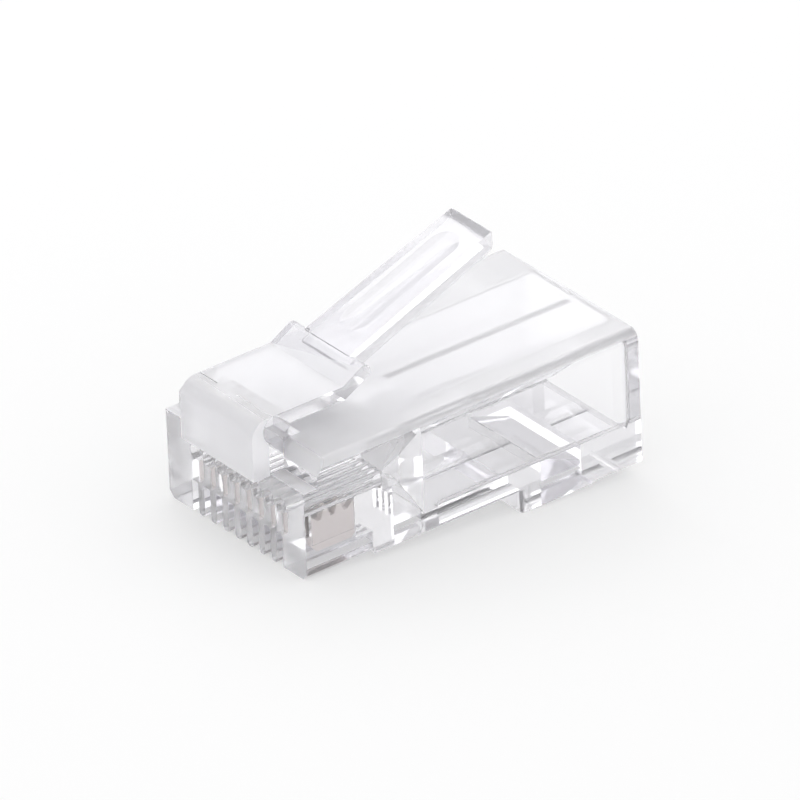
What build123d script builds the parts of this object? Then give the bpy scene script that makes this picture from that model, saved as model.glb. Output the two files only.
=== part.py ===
from build123d import *
import math
import os

# Eight way modular plug, millimetres. Nose towards -Y, cable entry towards +Y, latch on top.
# While it is drawn, y is measured back from the comb face and z up from the rear underside.

# Moulded body
body_width = 11.68
body_length = 21.8
body_top = 7.9
nose_underside = 1.35
step_y = 13.9
lip_length = 3.3
lip_relief = 0.12
ledge_depth = 0.9
ledge_top = 6.52
brow_size = 0.7
top_edge_radius = 0.6
upright_edge_radius = 0.25
nose_chamfer = 0.35
nose_chamfer_length = 4.4

# Comb of contact slots
ways = 8
pitch = 1.02
slot_width = 0.5
slot_length = 5.0
slot_front_height = 1.85
slot_back_height = 0.65
rib_radius = 0.2

# Contact blades
blade_thickness = 0.35
blade_front = 1.15
blade_length = 2.75
blade_recess = 0.75
blade_height = 1.8
tooth_height = 0.85
tooth_width = 0.62
tooth_spacing = 0.85
shoulder_height = 0.4
shoulder_width = 0.4
blade_corner = 0.35
blade_clearance = 0.025
blade_headroom = 0.15
blade_guide_rise = 0.5

# Wire channels and the funnel behind them
channel_diameter = 0.94
channel_rise = 3.5
front_wall = 0.45
channel_end = 5.6
chamber_end = 6.7
chamber_width = 8.4
chamber_height = 1.15

# Cable cavity
cavity_width = 6.9
cavity_floor = 1.6
cavity_ceiling = 7.0
cavity_front = 9.4
floor_lead = 0.9
cavity_radius = 0.5
mouth_radius = 0.2
cable_rib_width = 1.54
cable_rib_height = 0.12

# Latch block and lever
latch_width = 6.1
block_overhang = 1.05
block_underside = 6.4
block_top = 9.8
block_edge_radius = 1.0
gap_front = 0.95
lever_thickness = 0.8
crease_y = 4.83
ramp_angle = 30.0
shoulder_y = 6.62
shoulder_radius = 0.4
tab_root_width = 3.8
tab_width = 3.3
tab_angle = 21.0
tab_start = 6.2
tab_length = 10.3
tab_thickness = 1.0
tab_end_radius = 0.1
tab_heel_radius = 0.35
groove_width = 1.9
groove_depth = 0.16
groove_margin = 1.2
relief_width = 5.2
relief_length = 1.4
relief_depth = 0.6

# Flexing root of the latch, as thick as the lever that it carries
latch_axis_y = 0.55
latch_axis_z = block_top - lever_thickness
latch_root_radius = lever_thickness + 0.04
root_clearance = 0.02
cradle_lip_angle = 50.0

# Cable bar, pressed onto the cable's jacket
jacket_bar_width = 5.6
jacket_bar_front = 16.3
jacket_bar_length = 2.6
jacket_bar_rise = 0.3
jacket_bar_angle = 20.0

# Wire bar, pressed onto the single wires
wire_bar_width = 7.0
wire_bar_front = 6.5
wire_bar_length = 1.7
wire_bar_rise = 0.3
wire_bar_angle = 45.0

# Thin web that each bar turns on
web_radius = 0.22
bar_clearance = 0.06
web_clearance = 0.02

# How far a cut runs past the surface that it opens
overcut = 1.0

blade_bottom = nose_underside + blade_recess
channel_z = nose_underside + channel_rise
lever_underside = block_top - lever_thickness
slot_places = [(i - (ways - 1) / 2) * pitch for i in range(ways)]


def side_face(*points):
    """A closed outline of (y, z) points, seen from the side."""
    return Plane.YZ * make_face(Polyline(*points, close=True))


def across(face, width, x=0.0):
    """A side outline given its width across the plug, about x."""
    return Pos(x, 0, 0) * extrude(face, amount=width / 2, both=True)


def side_box(y0, y1, z0, z1, width, x=0.0):
    """A plain block by its limits along and up the plug."""
    return across(side_face((y0, z0), (y1, z0), (y1, z1), (y0, z1)), width, x)


def side_cylinder(y, z, radius, width):
    """A round bar that lies across the plug."""
    return Pos(0, y, z) * Rot(0, 90, 0) * Cylinder(radius, width)


def section(y, width, z0, z1, radius):
    """A rounded rectangle that stands across the plug at y."""
    flat = RectangleRounded(width, z1 - z0, radius)
    return Plane(origin=(0, y, (z0 + z1) / 2), x_dir=(1, 0, 0), z_dir=(0, -1, 0)) * flat


def edges_along_y(solid, z=None, x=None):
    """The straight edges that run along the plug at height z or side x."""
    found = solid.edges().filter_by(Axis.Y)
    if z is not None:
        found = found.filter_by(lambda e: abs(e.center().Z - z) < 1e-3)
    if x is not None:
        found = found.filter_by(lambda e: abs(abs(e.center().X) - x) < 1e-3)
    return found


# Outer form of the body, with its front ledge and the lowered rear block
def body_block():
    brow_y = ledge_depth + brow_size
    lip_y = body_length - lip_length
    outline = side_face(
        (0, nose_underside),
        (0, ledge_top),
        (ledge_depth, ledge_top),
        (ledge_depth, body_top - brow_size),
        (brow_y, body_top),
        (body_length, body_top),
        (body_length, lip_relief),
        (lip_y, lip_relief),
        (lip_y, 0),
        (step_y, 0),
        (step_y, nose_underside),
    )
    block = across(outline, body_width)
    block = fillet(edges_along_y(block, z=body_top, x=body_width / 2), top_edge_radius)
    uprights = block.edges().filter_by(Axis.Z).filter_by(lambda e: abs(e.center().Y - step_y) < 1e-3)
    block = fillet(uprights, upright_edge_radius)
    return block - nose_chamfers()


# Small chamfers along the two lower edges of the nose
def nose_chamfers():
    cut = nose_chamfer * math.sqrt(2)
    bar = Pos(0, nose_chamfer_length / 2, 0) * Rot(0, 45, 0) * Box(cut, nose_chamfer_length, cut)
    side = body_width / 2
    return Pos(side, 0, nose_underside) * bar + Pos(-side, 0, nose_underside) * bar


# Front block that the latch springs from
def latch_block():
    outline = side_face(
        (-block_overhang, block_underside),
        (-block_overhang, block_top),
        (crease_y, block_top),
        (crease_y, lever_underside),
        (gap_front, lever_underside),
        (gap_front, block_underside),
    )
    block = across(outline, latch_width)
    front = block.edges().filter_by(Axis.X).sort_by(Axis.Y)[:2].sort_by(Axis.Z)[-1]
    return fillet(front, block_edge_radius)


# Round seat in the block that the root of the latch fills, open where the lever swings
def latch_seat():
    seat_radius = latch_root_radius + root_clearance
    seat = side_cylinder(latch_axis_y, latch_axis_z, seat_radius, latch_width)
    lip = math.radians(cradle_lip_angle)
    lip_y = latch_axis_y + seat_radius * math.cos(lip)
    lip_z = latch_axis_z - seat_radius * math.sin(lip)
    opening = side_face(
        (latch_axis_y, latch_axis_z),
        (lip_y, lip_z),
        (crease_y + lever_thickness, lip_z),
        (crease_y + lever_thickness, block_top + lever_thickness),
        (latch_axis_y, block_top + lever_thickness),
    )
    return seat + across(opening, latch_width)


# Slots between the ribs of the comb, open at the front and below
def comb_slots():
    front_top = nose_underside + slot_front_height
    guide_z = blade_bottom + blade_guide_rise
    blade_back = blade_front + blade_length
    outline = side_face(
        (-overcut, nose_underside - overcut),
        (-overcut, front_top),
        (blade_front, front_top),
        (blade_front, guide_z),
        (blade_back + blade_clearance, guide_z),
        (blade_back + blade_clearance, nose_underside + slot_back_height),
        (slot_length, nose_underside + slot_back_height),
        (slot_length, nose_underside - overcut),
    )
    guide = side_box(
        blade_front - blade_clearance,
        blade_back + blade_clearance,
        nose_underside,
        blade_bottom + blade_height + tooth_height + blade_headroom,
        blade_thickness + 2 * blade_clearance,
    )
    slot = across(outline, slot_width) + guide
    return [Pos(x, 0, 0) * slot for x in slot_places]


# Round channels that lead each wire over its contact
def wire_channels():
    length = channel_end - front_wall
    bore = Pos(0, front_wall + length / 2, channel_z) * Rot(90, 0, 0) * Cylinder(channel_diameter / 2, length)
    return [Pos(x, 0, 0) * bore for x in slot_places]


# Cable cavity, with the funnel that narrows to a chamber behind the channels
def cavity():
    low = channel_z - chamber_height / 2
    high = channel_z + chamber_height / 2
    floor_front = cavity_front - floor_lead
    side = side_face(
        (channel_end, low),
        (chamber_end, low),
        (floor_front, cavity_floor),
        (cavity_front, cavity_floor),
        (cavity_front, cavity_ceiling),
        (channel_end, high),
    )
    half = [
        (chamber_width / 2, channel_end),
        (chamber_width / 2, chamber_end),
        (cavity_width / 2, floor_front),
        (cavity_width / 2, cavity_front),
    ]
    plan = make_face(Polyline(*half, *[(-x, y) for x, y in reversed(half)], close=True))
    funnel = across(side, chamber_width) & extrude(plan, amount=body_top)
    mouth = section(body_length, cavity_width, cavity_floor, cavity_ceiling, cavity_radius)
    return funnel + extrude(mouth, amount=body_length - cavity_front)


# Low rounded ribs along the middle of the cavity's floor and ceiling
def cable_ribs():
    radius = cable_rib_width**2 / (8 * cable_rib_height) + cable_rib_height / 2
    rear = body_length - 2 * mouth_radius
    length = rear - cavity_front
    bar = Pos(0, (cavity_front + rear) / 2, 0) * Rot(90, 0, 0) * Cylinder(radius, length)
    sunk = radius - cable_rib_height
    bottom = cavity_floor - cable_rib_height
    top = cavity_ceiling + cable_rib_height
    room = side_box(cavity_front, rear, bottom, top, cavity_width)
    heights = (cavity_floor - sunk, cavity_ceiling + sunk)
    return [Pos(0, 0, height) * bar & room for height in heights]


# A wedge that a thin web joins to the body at its rear lower edge
def bar_outline(front, length, underside, rise, angle):
    axis_y = front + length - web_radius
    axis_z = underside + rise + web_radius
    climb = math.radians(angle)
    meet_y = axis_y + web_radius * math.sin(climb)
    meet_z = axis_z + web_radius * math.cos(climb)
    wedge = side_face(
        (front, underside + rise),
        (axis_y, underside + rise),
        (meet_y, meet_z),
        (front, meet_z + (meet_y - front) * math.tan(climb)),
    )
    return wedge + Plane.YZ * Pos(axis_y, axis_z) * Circle(web_radius)


# Window in the body's underside that a bar lies in
def bar_window(front, length, width, ceiling):
    return side_box(
        front - bar_clearance,
        front + length + web_clearance,
        -overcut,
        ceiling,
        width + 2 * bar_clearance,
    )


def housing():
    solid = body_block()
    solid += latch_block()
    solid -= side_box(
        gap_front,
        gap_front + relief_length,
        body_top - relief_depth,
        body_top + overcut,
        relief_width,
    )
    solid -= latch_seat()
    for slot in comb_slots():
        solid -= slot
    ribs = edges_along_y(solid, z=nose_underside).filter_by(
        lambda e: abs(e.center().X) < (ways / 2 - 0.5) * pitch and e.center().Y < slot_length
    )
    solid = fillet(ribs, rib_radius)
    for channel in wire_channels():
        solid -= channel
    solid -= cavity()
    for rib in cable_ribs():
        solid += rib
    solid -= bar_window(jacket_bar_front, jacket_bar_length, jacket_bar_width, cavity_floor + overcut)
    solid -= bar_window(wire_bar_front, wire_bar_length, wire_bar_width, channel_z)
    mouth = solid.faces().sort_by(Axis.Y)[-1].inner_wires()[0].edges()
    return fillet(mouth, mouth_radius)


# Sprung lever, with the ramp, the locking shoulders and the long tab
def latch():
    climb = math.tan(math.radians(ramp_angle))
    shoulder_z = block_top + (shoulder_y - crease_y) * climb
    drop = lever_thickness / math.cos(math.radians(ramp_angle))
    lever = across(
        side_face(
            (latch_axis_y, lever_underside),
            (latch_axis_y, block_top),
            (crease_y, block_top),
            (shoulder_y, shoulder_z),
            (shoulder_y, shoulder_z - drop),
            (crease_y + drop - lever_thickness, lever_underside),
        ),
        latch_width,
    )
    lever = fillet(lever.edges().filter_by(Axis.X).sort_by(Axis.Z)[-1], shoulder_radius)
    root = side_cylinder(latch_axis_y, latch_axis_z, latch_root_radius, latch_width)
    above = side_box(
        latch_axis_y - 2 * latch_root_radius,
        latch_axis_y + 2 * latch_root_radius,
        block_top,
        block_top + latch_root_radius,
        latch_width,
    )
    start = Vector(tab_start, block_top + (tab_start - crease_y) * climb)
    return (lever + root) - above + tab(start)


# Long tab, cut off upright at its end and narrowing towards it
def tab(start):
    lean = math.radians(tab_angle)
    along = Vector(math.cos(lean), math.sin(lean))
    end = start + along * tab_length
    depth = tab_thickness / math.cos(lean)
    side = side_face(
        (start.X, start.Y),
        (end.X, end.Y),
        (end.X, end.Y - depth),
        (start.X, start.Y - depth),
    )
    bar = across(side, tab_root_width)
    low, high = bar.edges().filter_by(Axis.X).group_by(Axis.Y)[-1].sort_by(Axis.Z)
    bar = fillet(low, tab_heel_radius)
    bar = fillet(bar.edges().filter_by(Axis.X).sort_by(Axis.Z)[-1], tab_end_radius)
    plan = make_face(
        Polyline(
            (-tab_root_width / 2, start.X),
            (tab_root_width / 2, start.X),
            (tab_width / 2, end.X),
            (-tab_width / 2, end.X),
            close=True,
        )
    )
    return (bar & extrude(plan, amount=2 * block_top)) - tab_groove(start, along)


# Shallow thumb groove along the top of the tab, rounded at both ends
def tab_groove(start, along):
    radius = groove_width**2 / (8 * groove_depth) + groove_depth / 2
    rise = Vector(-along.Y, along.X) * (radius - groove_depth)
    inset = groove_margin + groove_width / 2
    first = start + along * inset + rise
    last = start + along * (tab_length - inset) + rise
    middle = (first + last) / 2
    bar = Cylinder(radius, tab_length - 2 * inset)
    groove = Pos(0, middle.X, middle.Y) * Rot(tab_angle - 90, 0, 0) * bar
    for end in (first, last):
        groove += Pos(0, end.X, end.Y) * Sphere(radius)
    return groove


def jacket_bar():
    outline = bar_outline(jacket_bar_front, jacket_bar_length, 0, jacket_bar_rise, jacket_bar_angle)
    return across(outline, jacket_bar_width)


def wire_bar():
    outline = bar_outline(wire_bar_front, wire_bar_length, nose_underside, wire_bar_rise, wire_bar_angle)
    return across(outline, wire_bar_width)


# Flat blade with two piercing teeth between two guide shoulders
def contact(x):
    y0 = blade_front
    y1 = blade_front + blade_length
    z0 = blade_bottom
    z1 = blade_bottom + blade_height
    middle = (y0 + y1) / 2
    outline = [(y0 + blade_corner, z0), (y1 - blade_corner / 2, z0), (y1, z0 + blade_corner / 2)]
    outline += [(y1, z1 + shoulder_height), (y1 - shoulder_width, z1)]
    half = tooth_width / 2
    for centre in (middle + tooth_spacing / 2, middle - tooth_spacing / 2):
        outline += [(centre + half, z1), (centre, z1 + tooth_height), (centre - half, z1)]
    outline += [(y0 + shoulder_width, z1), (y0, z1 + shoulder_height), (y0, z0 + blade_corner)]
    return across(side_face(*outline), blade_thickness, x)


parts = {
    "housing": housing(),
    "latch": latch(),
    "jacket_bar": jacket_bar(),
    "wire_bar": wire_bar(),
}
for number, x in enumerate(slot_places, start=1):
    parts[f"contact_{number}"] = contact(x)

# The origin goes below the middle of the whole plug
middle_y = (body_length - block_overhang) / 2
os.makedirs("parts", exist_ok=True)
for name, shape in parts.items():
    export_step(Pos(0, -middle_y, 0) * shape, f"parts/{name}.step")
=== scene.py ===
"""Looks of the eight way modular plug: clear polycarbonate with plated contacts, on a pale floor."""

import math

import bpy
from mathutils import Matrix, Vector

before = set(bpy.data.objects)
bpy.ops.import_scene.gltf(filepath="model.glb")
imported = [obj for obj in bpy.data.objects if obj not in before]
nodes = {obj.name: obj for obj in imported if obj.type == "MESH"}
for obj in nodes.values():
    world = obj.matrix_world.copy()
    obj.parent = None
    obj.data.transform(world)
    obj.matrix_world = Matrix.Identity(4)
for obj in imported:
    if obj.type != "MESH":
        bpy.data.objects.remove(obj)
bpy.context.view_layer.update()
scene = bpy.context.scene

MM = 0.001
WHITE = (1, 1, 1, 1)

# Camera, fitted to the photograph. Pixels are in its 800 by 800 frame.
PICTURE_SIDE = 800
VIEW_AZIMUTH = math.radians(53.571)
VIEW_ELEVATION = math.radians(30.061)
VIEW_ROLL = math.radians(-2.509)
VIEW_DISTANCE = 850 * MM
PIXELS_PER_MM = 19.371
TARGET = Vector((0, 0.625 * MM, 4.0 * MM))
TARGET_PIXEL = (405.9, 422.4)
SENSOR_WIDTH = 36
CLIP_START, CLIP_END = 0.01, 20

# Seen from the nose, the plug rests on the nose's lower edge and on the step of the rear block
NOSE_Y = -10.375 * MM
NOSE_UNDERSIDE = 1.35 * MM
STEP_Y = 3.525 * MM

# Floor of white paper, and how much of its own glow shows where it is a background
FLOOR_SIDE = 1.2
FLOOR_COLOR = (0.95, 0.95, 0.95, 1)
FLOOR_ROUGHNESS = 0.8
FLOOR_SPECULAR = 0.2
FLOOR_GLOW = 0.98
FLOOR_LIFT = 0.45

# Pale room, slightly darker below the horizon, and one softbox behind the plug
ROOM_GLOW = 1.0
ROOM_BELOW = (0.93, 0.93, 0.95, 1)
ROOM_HORIZON = 0.5
SOFTBOX_PLACE = Vector((-0.216, 0.087, 0.189))
SOFTBOX_AIM = Vector((0, 0, 4.0 * MM))
SOFTBOX_ALONG = Vector((0, 0.9, -0.43))
SOFTBOX_LENGTH, SOFTBOX_WIDTH = 0.25, 0.12
SOFTBOX_GLOW = 1.0

# Clear plastic. Each finish has a material name, a share of clear to milky, its least and greatest
# roughness, and a tint.
PLASTIC_NODES = ("housing", "latch", "jacket_bar", "wire_bar")
PLASTIC_IOR = 1.585
PLASTIC_TINT = (0.975, 0.969, 0.993, 1)
FINISHES = {
    "polished": ("polished polycarbonate", 0.92, 0.0, 0.04, PLASTIC_TINT),
    # Satin and sheer go on upward faces, frosted on the block's front and brow: milky finishes that also
    # paint the pale wash of light on those faces.
    "satin_and_painted_sheen": ("satin polycarbonate", 0.55, 0.2, 0.27, (0.945, 0.94, 0.965, 1)),
    "sheer_and_painted_sheen": ("sheer polycarbonate", 0.8, 0.08, 0.2, (0.955, 0.947, 0.98, 1)),
    "frosted_and_painted_wash": ("frosted polycarbonate", 0.45, 0.3, 0.45, PLASTIC_TINT),
    "inner": ("inner polycarbonate", 0.96, 0.0, 0.06, (0.998, 0.997, 1, 1)),
}
FLOW_SCALE = 350
FLOW_DETAIL = 3
FLOW_BUMP = 0.05
FLOW_HEIGHT = 0.02 * MM

# Where one finish gives way to the next
# Above this height the block's front and the upward faces get milky finishes that paint the wash of light
# on them.
PAINTED_WASH_FLOOR = 6.3 * MM
PAINTED_SHEEN_SLOPE = 0.35
BLOCK_FRONT = NOSE_Y - 0.1 * MM
BROW_BACK = NOSE_Y + 1.7 * MM
BROW_TOP = 8.2 * MM
INNER_SIDE = 5.3 * MM
INNER_FLOOR = 1.45 * MM
INNER_FRONT = NOSE_Y + 0.1 * MM
INNER_BACK = 9.0 * MM
COMB_TOP = 4.2 * MM
COMB_BACK = NOSE_Y + 5.0 * MM
TAB_FLOOR = 9.9 * MM
TAB_FRONT = NOSE_Y + 5.5 * MM

# Round seat of the latch's root, where one moulding is split for the joint
SEAT_NODES = ("housing", "latch")
SEAT_Y = NOSE_Y + 0.55 * MM
SEAT_Z = 9.0 * MM
SEAT_RADIUS = 0.84 * MM
SEAT_SLACK = 0.03 * MM
SEAT_LEAN = 0.5

# Plated contacts
CONTACTS = 8
METAL_DARK = (0.86, 0.8, 0.76, 1)
METAL_LIGHT = (0.95, 0.89, 0.84, 1)
METAL_ROUGHNESS = (0.3, 0.5)
GRAIN_SCALE = 2500
GRAIN_DETAIL = 4

# Light crosses many walls of the clear plastic before it leaves
CLEAR_BOUNCES = 32
SOFT_BOUNCES = 16


def make_camera():
    az, el, roll = VIEW_AZIMUTH, VIEW_ELEVATION, VIEW_ROLL
    ahead = Vector((-math.sin(az) * math.cos(el), math.cos(az) * math.cos(el), -math.sin(el)))
    level = Vector((math.cos(az), math.sin(az), 0))
    up = level.cross(ahead)
    right = level * math.cos(roll) + up * math.sin(roll)
    top = up * math.cos(roll) - level * math.sin(roll)
    across = (PICTURE_SIDE / 2 - TARGET_PIXEL[0]) / PIXELS_PER_MM * MM
    down = (PICTURE_SIDE / 2 - TARGET_PIXEL[1]) / PIXELS_PER_MM * MM
    middle = TARGET + right * across - top * down
    data = bpy.data.cameras.new("Camera")
    data.sensor_width = SENSOR_WIDTH
    data.lens = data.sensor_width * PIXELS_PER_MM * VIEW_DISTANCE / MM / PICTURE_SIDE
    data.clip_start = CLIP_START
    data.clip_end = CLIP_END
    camera = bpy.data.objects.new("Camera", data)
    scene.collection.objects.link(camera)
    turn = Matrix((right, top, -ahead)).transposed().to_4x4()
    camera.matrix_world = Matrix.Translation(middle - ahead * VIEW_DISTANCE) @ turn
    scene.camera = camera


def new_material(name):
    mat = bpy.data.materials.new(name)
    mat.use_nodes = True
    return mat, mat.node_tree, mat.node_tree.nodes["Principled BSDF"]


def shows_background(tree):
    """A socket that is 1 for rays from the camera, from metal and through clear plastic."""
    path = tree.nodes.new("ShaderNodeLightPath")
    found = path.outputs["Is Camera Ray"]
    for kind in ("Is Glossy Ray", "Is Transmission Ray"):
        either = tree.nodes.new("ShaderNodeMath")
        either.operation = "MAXIMUM"
        tree.links.new(found, either.inputs[0])
        tree.links.new(path.outputs[kind], either.inputs[1])
        found = either.outputs[0]
    return found


def floor_height(y):
    """Height of the floor under the plug, which leans on its nose edge and its step."""
    return NOSE_UNDERSIDE * (STEP_Y - y) / (STEP_Y - NOSE_Y)


def make_floor():
    half = FLOOR_SIDE / 2
    square = ((-half, -half), (half, -half), (half, half), (-half, half))
    corners = [(x, y, floor_height(y)) for x, y in square]
    mesh = bpy.data.meshes.new("floor")
    mesh.from_pydata(corners, [], [(0, 1, 2, 3)])
    floor = bpy.data.objects.new("floor", mesh)
    scene.collection.objects.link(floor)
    mesh.materials.append(floor_paper())


def floor_paper():
    """White paper, paler than its shading where the camera, metal or clear plastic shows it."""
    mat, tree, shader = new_material("floor")
    shader.inputs["Base Color"].default_value = FLOOR_COLOR
    shader.inputs["Roughness"].default_value = FLOOR_ROUGHNESS
    shader.inputs["Specular IOR Level"].default_value = FLOOR_SPECULAR
    pale = tree.nodes.new("ShaderNodeEmission")
    pale.inputs["Color"].default_value = WHITE
    pale.inputs["Strength"].default_value = FLOOR_GLOW
    share = tree.nodes.new("ShaderNodeMath")
    share.operation = "MULTIPLY"
    share.inputs[1].default_value = FLOOR_LIFT
    tree.links.new(shows_background(tree), share.inputs[0])
    mix = tree.nodes.new("ShaderNodeMixShader")
    tree.links.new(share.outputs[0], mix.inputs["Fac"])
    tree.links.new(shader.outputs[0], mix.inputs[1])
    tree.links.new(pale.outputs[0], mix.inputs[2])
    tree.links.new(mix.outputs[0], tree.nodes["Material Output"].inputs["Surface"])
    return mat


def make_world():
    """Pale studio room, plain white where the camera, metal or clear plastic shows it."""
    world = bpy.data.worlds.new("studio")
    scene.world = world
    world.use_nodes = True
    tree = world.node_tree
    tree.nodes.clear()
    out = tree.nodes.new("ShaderNodeOutputWorld")
    mix = tree.nodes.new("ShaderNodeMixShader")
    white = tree.nodes.new("ShaderNodeBackground")
    white.inputs["Color"].default_value = WHITE
    white.inputs["Strength"].default_value = 1
    room = tree.nodes.new("ShaderNodeBackground")
    room.inputs["Strength"].default_value = ROOM_GLOW
    place = tree.nodes.new("ShaderNodeTexCoord")
    split = tree.nodes.new("ShaderNodeSeparateXYZ")
    ramp = tree.nodes.new("ShaderNodeValToRGB")
    below, above = ramp.color_ramp.elements
    below.color = ROOM_BELOW
    above.position = ROOM_HORIZON
    above.color = WHITE
    tree.links.new(place.outputs["Generated"], split.inputs[0])
    tree.links.new(split.outputs["Z"], ramp.inputs["Fac"])
    tree.links.new(ramp.outputs["Color"], room.inputs["Color"])
    tree.links.new(shows_background(tree), mix.inputs["Fac"])
    tree.links.new(room.outputs[0], mix.inputs[1])
    tree.links.new(white.outputs[0], mix.inputs[2])
    tree.links.new(mix.outputs[0], out.inputs["Surface"])


def make_softbox():
    """A rectangular softbox that faces the plug, with its length turned towards one direction."""
    data = bpy.data.lights.new("rear softbox", "AREA")
    data.shape = "RECTANGLE"
    data.size, data.size_y = SOFTBOX_LENGTH, SOFTBOX_WIDTH
    data.energy = SOFTBOX_GLOW * math.pi * SOFTBOX_LENGTH * SOFTBOX_WIDTH
    light = bpy.data.objects.new("rear softbox", data)
    scene.collection.objects.link(light)
    back = (SOFTBOX_PLACE - SOFTBOX_AIM).normalized()
    side = (SOFTBOX_ALONG - back * back.dot(SOFTBOX_ALONG)).normalized()
    turn = Matrix((side, back.cross(side), back)).transposed().to_4x4()
    light.matrix_world = Matrix.Translation(SOFTBOX_PLACE) @ turn


def add_noise(tree, scale, detail):
    """Socket of a noise that is fixed to the piece."""
    place = tree.nodes.new("ShaderNodeTexCoord")
    noise = tree.nodes.new("ShaderNodeTexNoise")
    noise.inputs["Scale"].default_value = scale
    noise.inputs["Detail"].default_value = detail
    tree.links.new(place.outputs["Object"], noise.inputs["Vector"])
    return noise.outputs["Fac"]


def vary_roughness(tree, shader, pattern, low, high):
    spread = tree.nodes.new("ShaderNodeMapRange")
    spread.inputs["To Min"].default_value = low
    spread.inputs["To Max"].default_value = high
    tree.links.new(pattern, spread.inputs["Value"])
    tree.links.new(spread.outputs["Result"], shader.inputs["Roughness"])


def clear_plastic(name, clearness, low, high, tint):
    """Clear moulded plastic whose roughness wanders between two values with the flow of the melt."""
    mat, tree, shader = new_material(name)
    shader.inputs["Base Color"].default_value = tint
    shader.inputs["IOR"].default_value = PLASTIC_IOR
    shader.inputs["Transmission Weight"].default_value = clearness
    flow = add_noise(tree, FLOW_SCALE, FLOW_DETAIL)
    vary_roughness(tree, shader, flow, low, high)
    bump = tree.nodes.new("ShaderNodeBump")
    bump.inputs["Strength"].default_value = FLOW_BUMP
    bump.inputs["Distance"].default_value = FLOW_HEIGHT
    tree.links.new(flow, bump.inputs["Height"])
    tree.links.new(bump.outputs["Normal"], shader.inputs["Normal"])
    return mat


def open_joint():
    """The faces where one moulding is split for its joint: the plastic goes on there, so nothing shows."""
    mat, _, shader = new_material("unbroken plastic")
    shader.inputs["Alpha"].default_value = 0
    shader.inputs["Base Color"].default_value = WHITE
    return mat


def plated_metal():
    mat, tree, shader = new_material("gold plated bronze")
    shader.inputs["Metallic"].default_value = 1
    grain = add_noise(tree, GRAIN_SCALE, GRAIN_DETAIL)
    tint = tree.nodes.new("ShaderNodeValToRGB")
    dark, light = tint.color_ramp.elements
    dark.color = METAL_DARK
    light.color = METAL_LIGHT
    tree.links.new(grain, tint.inputs["Fac"])
    tree.links.new(tint.outputs["Color"], shader.inputs["Base Color"])
    vary_roughness(tree, shader, grain, *METAL_ROUGHNESS)
    return mat


def finish_of(face):
    """The block's front and the brow are frosted, the tops of body and block satin, the tab's sheer: milky
    finishes, which also paint the pale wash of light on those fronts and tops.

    The walls of the wire channels, the funnel and the cavity have almost no tint, so that light which
    crosses many of them isn't darkened by each.
    """
    x, y, z = face.center
    if z < PAINTED_WASH_FLOOR:
        within = abs(x) < INNER_SIDE and INNER_FRONT < y < INNER_BACK and z > INNER_FLOOR
        return "inner" if within and (z > COMB_TOP or y > COMB_BACK) else "polished"
    # Upward faces take the milky finishes, which paint a sheen of light on the tops.
    upward = face.normal.z > PAINTED_SHEEN_SLOPE
    if y < BLOCK_FRONT or (upward and y < BROW_BACK and z < BROW_TOP):
        return "frosted_and_painted_wash"
    if not upward:
        return "polished"
    return "sheer_and_painted_sheen" if z > TAB_FLOOR and y > TAB_FRONT else "satin_and_painted_sheen"


def on_seat(mesh, face):
    """Whether a face lies on the round seat of the latch's root."""
    points = [mesh.vertices[v].co for v in face.vertices]
    away = [math.hypot(point.y - SEAT_Y, point.z - SEAT_Z) for point in points]
    return all(abs(d - SEAT_RADIUS) < SEAT_SLACK for d in away) and abs(face.normal.x) < SEAT_LEAN


def dress_plastic():
    finishes = {finish: clear_plastic(*look) for finish, look in FINISHES.items()}
    finishes["joint"] = open_joint()
    order = list(finishes)
    for name in PLASTIC_NODES:
        mesh = nodes[name].data
        mesh.materials.clear()
        for finish in order:
            mesh.materials.append(finishes[finish])
        for face in mesh.polygons:
            at_joint = name in SEAT_NODES and on_seat(mesh, face)
            face.material_index = order.index("joint" if at_joint else finish_of(face))


def dress_contacts():
    metal = plated_metal()
    for number in range(1, CONTACTS + 1):
        contact = nodes[f"contact_{number}"].data
        contact.materials.clear()
        contact.materials.append(metal)


make_camera()
make_world()
make_softbox()
make_floor()
dress_plastic()
dress_contacts()

scene.view_settings.view_transform = "Standard"
scene.cycles.max_bounces = CLEAR_BOUNCES
scene.cycles.diffuse_bounces = SOFT_BOUNCES
scene.cycles.transmission_bounces = CLEAR_BOUNCES
scene.cycles.glossy_bounces = SOFT_BOUNCES
scene.cycles.transparent_max_bounces = CLEAR_BOUNCES
